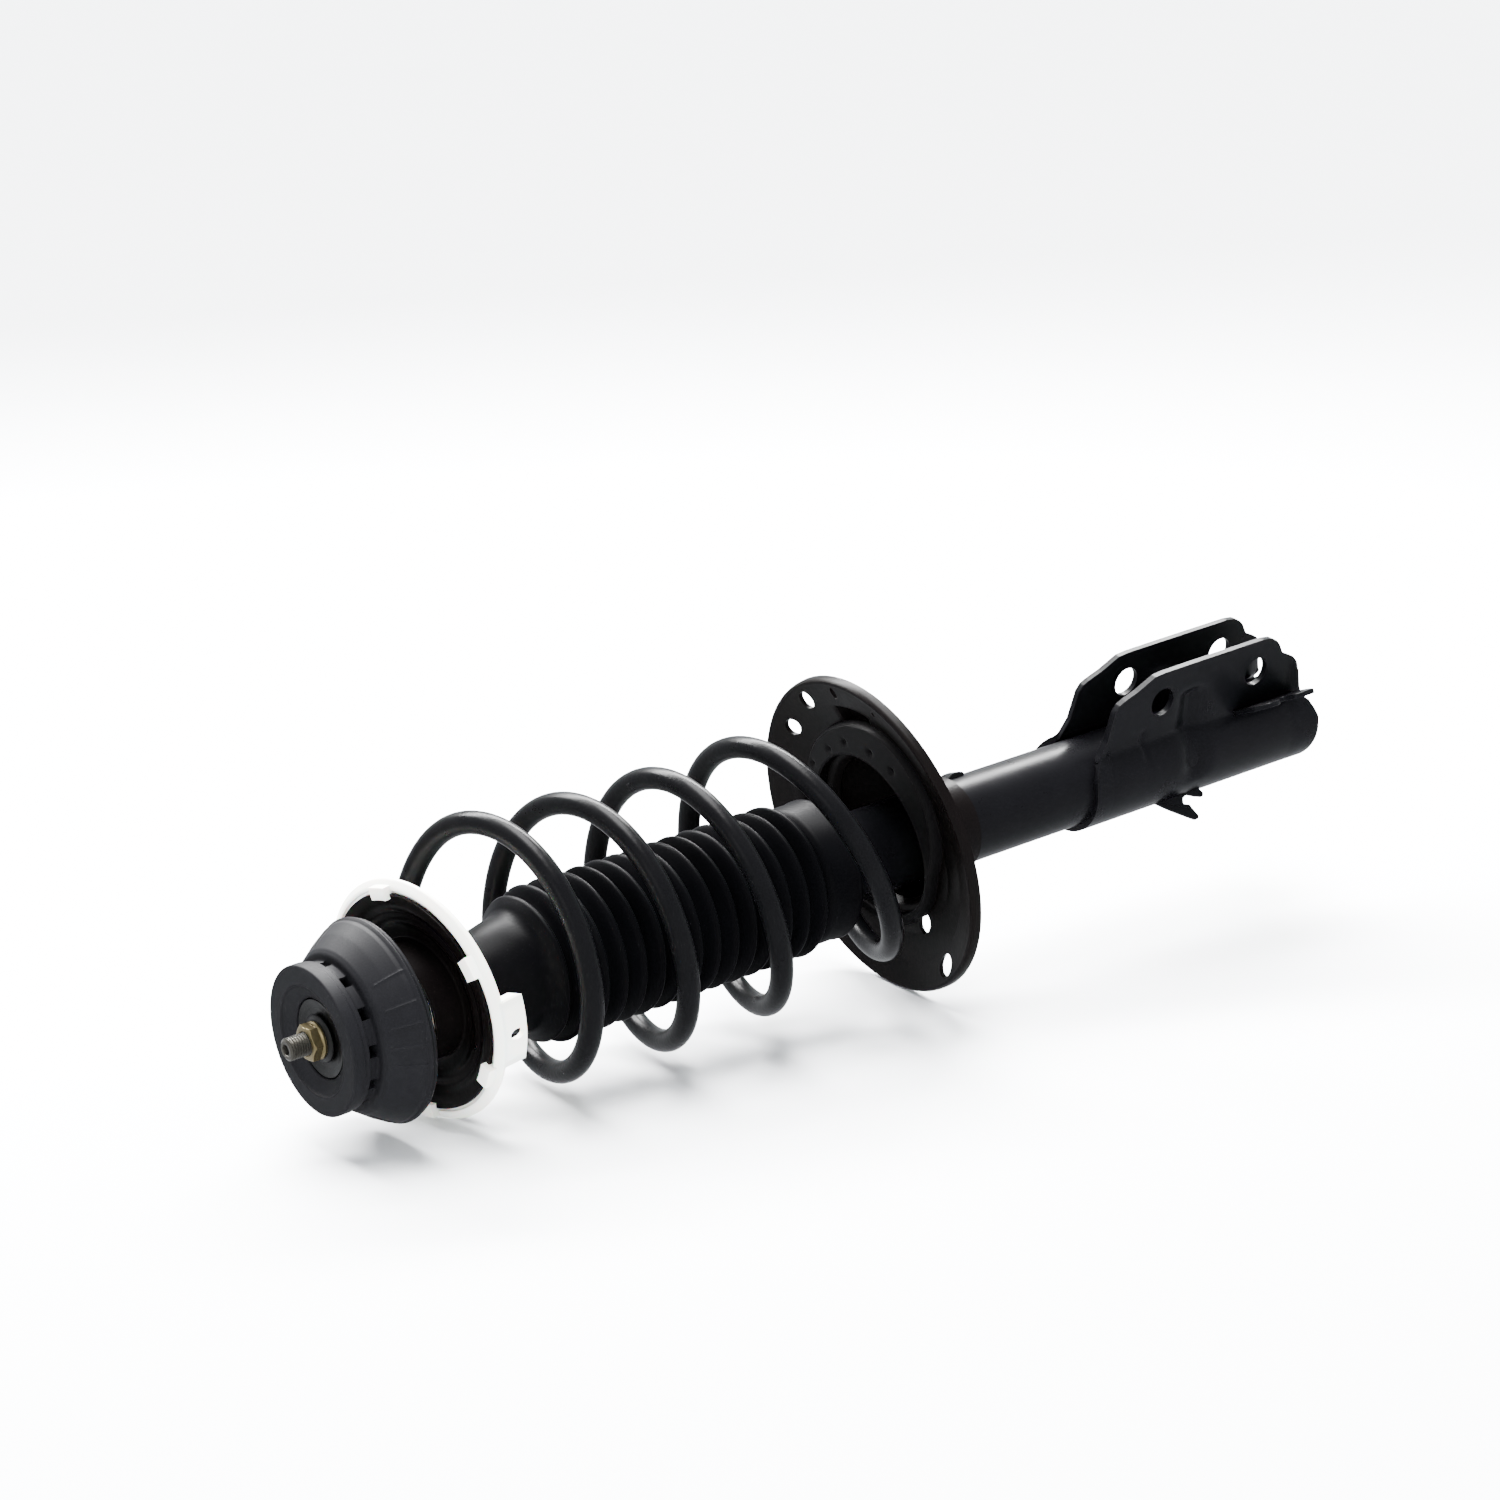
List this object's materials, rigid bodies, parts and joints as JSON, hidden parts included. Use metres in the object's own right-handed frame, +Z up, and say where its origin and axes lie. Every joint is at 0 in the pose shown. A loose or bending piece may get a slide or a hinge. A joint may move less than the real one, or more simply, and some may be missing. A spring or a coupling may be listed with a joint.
{
  "type": "suspension strut assembly",
  "caption": "Front suspension strut with its coil spring, dust boot, rubber top mount, tilted bearing seat and clamping knuckle bracket.",
  "frame": {"origin": "centre of the top mount's front face, on the damper's axis", "axes": "+X runs along the damper's axis from the top mount to the knuckle bracket; +Z is up with the strut lying on its side; the bracket's ears stand 11.84 degrees from +Z towards -Y"},
  "size_m": [0.705, 0.19, 0.189],
  "materials": {
    "black_paint": "satin black paint on welded steel",
    "black_ecoat": "semi-gloss black electrocoat on pressed steel",
    "powder_coat": "satin black powder coat on spring steel",
    "bare_steel": "machined steel",
    "chromed_rod": "hard chrome, ground",
    "sintered_steel": "sintered steel",
    "bronze_liner": "bronze-backed lining",
    "yellow_zinc": "yellow passivated zinc",
    "seal_rubber": "nitrile rubber",
    "mount_rubber": "moulded natural rubber",
    "boot_rubber": "blow-moulded boot",
    "seat_rubber": "moulded rubber",
    "ptfe_band": "filled PTFE",
    "white_nylon": "natural nylon",
    "foam_urethane": "cellular polyurethane"
  },
  "bodies": {
    "strut_body": {"strut_tube": "black_paint", "base_cup": "black_paint", "pressure_tube": "bare_steel", "base_valve": "sintered_steel", "rod_guide": "sintered_steel", "guide_bush": "bronze_liner", "oil_seal": "seal_rubber", "bump_cap": "black_paint", "dust_boot": "boot_rubber", "lower_spring_seat": "black_ecoat", "lower_seat_rubber": "seat_rubber", "coil_spring": "powder_coat", "knuckle_bracket": "black_paint", "hose_bracket": "black_paint", "sensor_wire_bracket": "black_paint", "harness_tab": "black_paint"},
    "upper_seat": {"upper_seat_plate": "black_ecoat", "bearing_housing": "white_nylon", "bearing_race_lower": "bare_steel", "bump_stop": "foam_urethane"},
    "ball_set": {"bearing_balls": "bare_steel", "ball_cage": "white_nylon"},
    "top_mount": {"mount_rubber": "mount_rubber", "mount_shell": "bare_steel", "mount_core": "bare_steel", "thrust_plate": "bare_steel", "spacer_collar": "bare_steel", "rebound_washer": "bare_steel", "rod_nut": "yellow_zinc", "piston_rod": "chromed_rod", "rebound_stop": "seal_rubber", "valve_shims": "bare_steel", "piston": "sintered_steel", "piston_band": "ptfe_band", "piston_nut": "bare_steel", "bearing_race_upper": "bare_steel"}
  },
  "joints": [
    {"name": "rod_slide", "type": "slide", "parent": "strut_body", "child": "upper_seat", "axis": [1, 0, 0], "range_m": [0, 0.14], "stiffness_N_per_m": 22000, "springref_m": -0.05, "deforming": ["coil_spring", "dust_boot"]},
    {"name": "steer_swivel", "type": "hinge", "parent": "upper_seat", "child": "top_mount", "pos_m": [0.04, 0, 0], "axis": [1, 0, 0], "continuous": true},
    {"name": "ball_roll", "type": "hinge", "parent": "upper_seat", "child": "ball_set", "pos_m": [0.0489, 0, 0], "axis": [1, 0, 0], "continuous": true}
  ],
  "couplings": [
    {"joint": "ball_roll", "follows": "steer_swivel", "ratio": 0.5}
  ]
}
